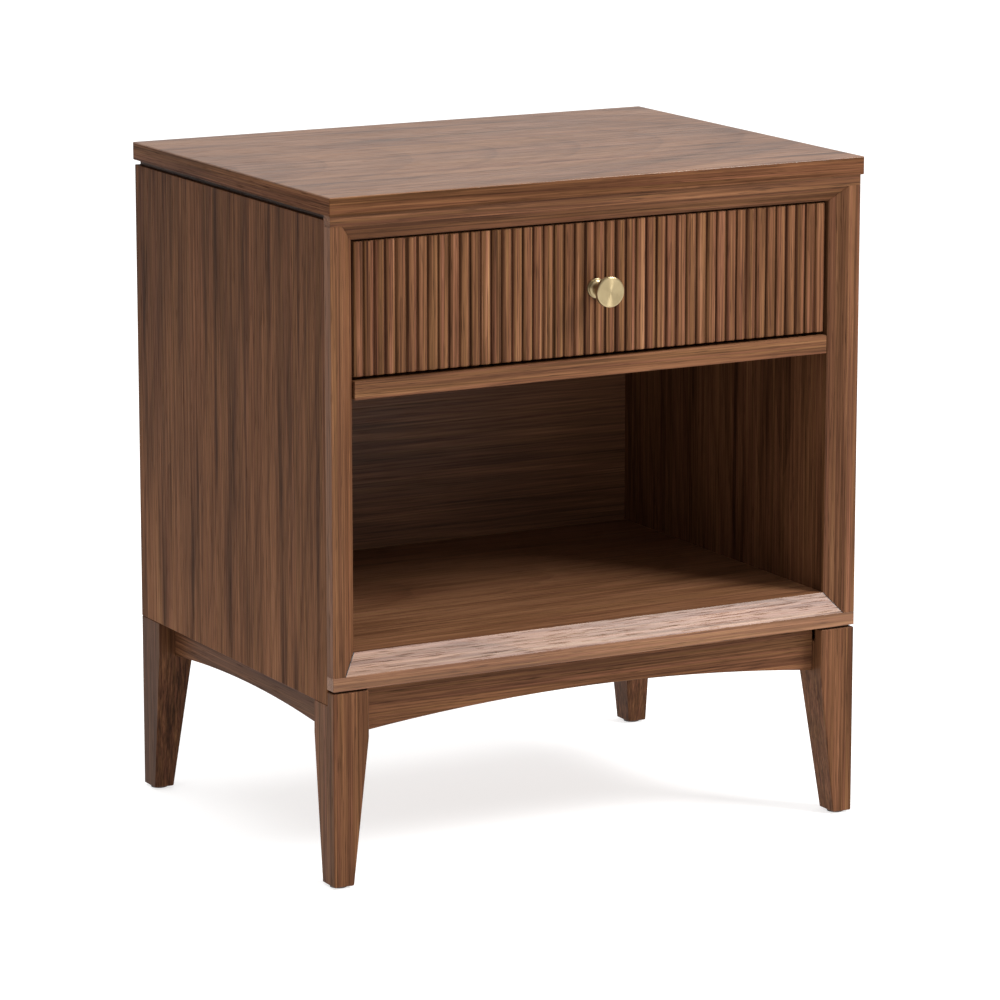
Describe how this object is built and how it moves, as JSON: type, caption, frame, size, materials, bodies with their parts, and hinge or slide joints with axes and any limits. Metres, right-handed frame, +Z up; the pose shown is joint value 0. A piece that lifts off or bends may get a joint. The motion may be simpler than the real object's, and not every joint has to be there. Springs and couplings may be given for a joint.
{
  "type": "nightstand",
  "caption": "Bedside table: veneered case with bevelled face frame, reeded drawer with brass knob on ball-bearing slides, open compartment below, and tapered legs with arched aprons.",
  "frame": {"origin": "on the floor, under the middle of the overall box, knob included", "axes": "+Z up from the floor to the top; the drawer front, the frame and the knob face -Y; +X to the right as seen from the front"},
  "size_m": [0.559, 0.431, 0.635],
  "materials": {
    "walnut_top": "satin",
    "walnut_side": "satin",
    "walnut_frame": "satin",
    "walnut_drawer": "satin",
    "walnut_inside": "satin",
    "walnut_leg": "satin",
    "hidden_board": "satin",
    "drawer_box_board": "satin",
    "dowel_beech": "satin",
    "brass": "brushed",
    "slide_steel": "zinc plated",
    "screw_steel": "zinc plated",
    "glide_nylon": "matte"
  },
  "bodies": {
    "case": {"top_panel": "walnut_top", "shelf_panel": "walnut_inside", "divider_panel": "walnut_inside", "divider_lipping": "walnut_frame", "back_panel": "walnut_inside", "frame_top_rail": "walnut_frame", "frame_bottom_rail": "walnut_frame", "apron_front": "walnut_leg", "apron_back": "walnut_leg", "top_stretcher_front": "hidden_board", "top_stretcher_back": "hidden_board", "foot_glides": "glide_nylon", "top_fixing_screws": "screw_steel", "base_fixing_screws": "screw_steel", "slide_case_screws": "screw_steel", "wood_dowels": "dowel_beech", "side_panel_left": "walnut_side", "frame_stile_left": "walnut_frame", "reveal_strip_left": "hidden_board", "shelf_cleat_left": "hidden_board", "leg_front_left": "walnut_leg", "leg_back_left": "walnut_leg", "apron_left": "walnut_leg", "corner_block_front_left": "hidden_board", "corner_block_back_left": "hidden_board", "leg_spacer_left": "hidden_board", "slide_outer_left": "slide_steel", "side_panel_right": "walnut_side", "frame_stile_right": "walnut_frame", "reveal_strip_right": "hidden_board", "shelf_cleat_right": "hidden_board", "leg_front_right": "walnut_leg", "leg_back_right": "walnut_leg", "apron_right": "walnut_leg", "corner_block_front_right": "hidden_board", "corner_block_back_right": "hidden_board", "leg_spacer_right": "hidden_board", "slide_outer_right": "slide_steel"},
    "drawer": {"drawer_front": "walnut_drawer", "drawer_box_front": "drawer_box_board", "drawer_box_back": "drawer_box_board", "drawer_side_left": "drawer_box_board", "drawer_side_right": "drawer_box_board", "drawer_bottom": "drawer_box_board", "knob": "brass", "knob_screw": "screw_steel", "slide_inner_left": "slide_steel", "slide_inner_right": "slide_steel", "drawer_front_screws": "screw_steel", "slide_drawer_screws": "screw_steel"},
    "slide_carriage_left": {"slide_middle_left": "slide_steel"},
    "outer_cage_left": {"ball_cage_outer_left": "slide_steel", "slide_balls_outer_left": "slide_steel"},
    "inner_cage_left": {"ball_cage_inner_left": "slide_steel", "slide_balls_inner_left": "slide_steel"},
    "slide_carriage_right": {"slide_middle_right": "slide_steel"},
    "outer_cage_right": {"ball_cage_outer_right": "slide_steel", "slide_balls_outer_right": "slide_steel"},
    "inner_cage_right": {"ball_cage_inner_right": "slide_steel", "slide_balls_inner_right": "slide_steel"}
  },
  "joints": [
    {"name": "drawer_slide", "type": "slide", "parent": "case", "child": "drawer", "axis": [0, -1, 0], "range_m": [0, 0.3]},
    {"name": "slide_carriage_left_slide", "type": "slide", "parent": "case", "child": "slide_carriage_left", "axis": [0, -1, 0], "range_m": [0, 0.15]},
    {"name": "outer_cage_left_slide", "type": "slide", "parent": "case", "child": "outer_cage_left", "axis": [0, -1, 0], "range_m": [0, 0.075]},
    {"name": "inner_cage_left_slide", "type": "slide", "parent": "case", "child": "inner_cage_left", "axis": [0, -1, 0], "range_m": [0, 0.225]},
    {"name": "slide_carriage_right_slide", "type": "slide", "parent": "case", "child": "slide_carriage_right", "axis": [0, -1, 0], "range_m": [0, 0.15]},
    {"name": "outer_cage_right_slide", "type": "slide", "parent": "case", "child": "outer_cage_right", "axis": [0, -1, 0], "range_m": [0, 0.075]},
    {"name": "inner_cage_right_slide", "type": "slide", "parent": "case", "child": "inner_cage_right", "axis": [0, -1, 0], "range_m": [0, 0.225]}
  ],
  "couplings": [
    {"joint": "slide_carriage_left_slide", "follows": "drawer_slide", "ratio": 0.5},
    {"joint": "outer_cage_left_slide", "follows": "drawer_slide", "ratio": 0.25},
    {"joint": "inner_cage_left_slide", "follows": "drawer_slide", "ratio": 0.75},
    {"joint": "slide_carriage_right_slide", "follows": "drawer_slide", "ratio": 0.5},
    {"joint": "outer_cage_right_slide", "follows": "drawer_slide", "ratio": 0.25},
    {"joint": "inner_cage_right_slide", "follows": "drawer_slide", "ratio": 0.75}
  ]
}
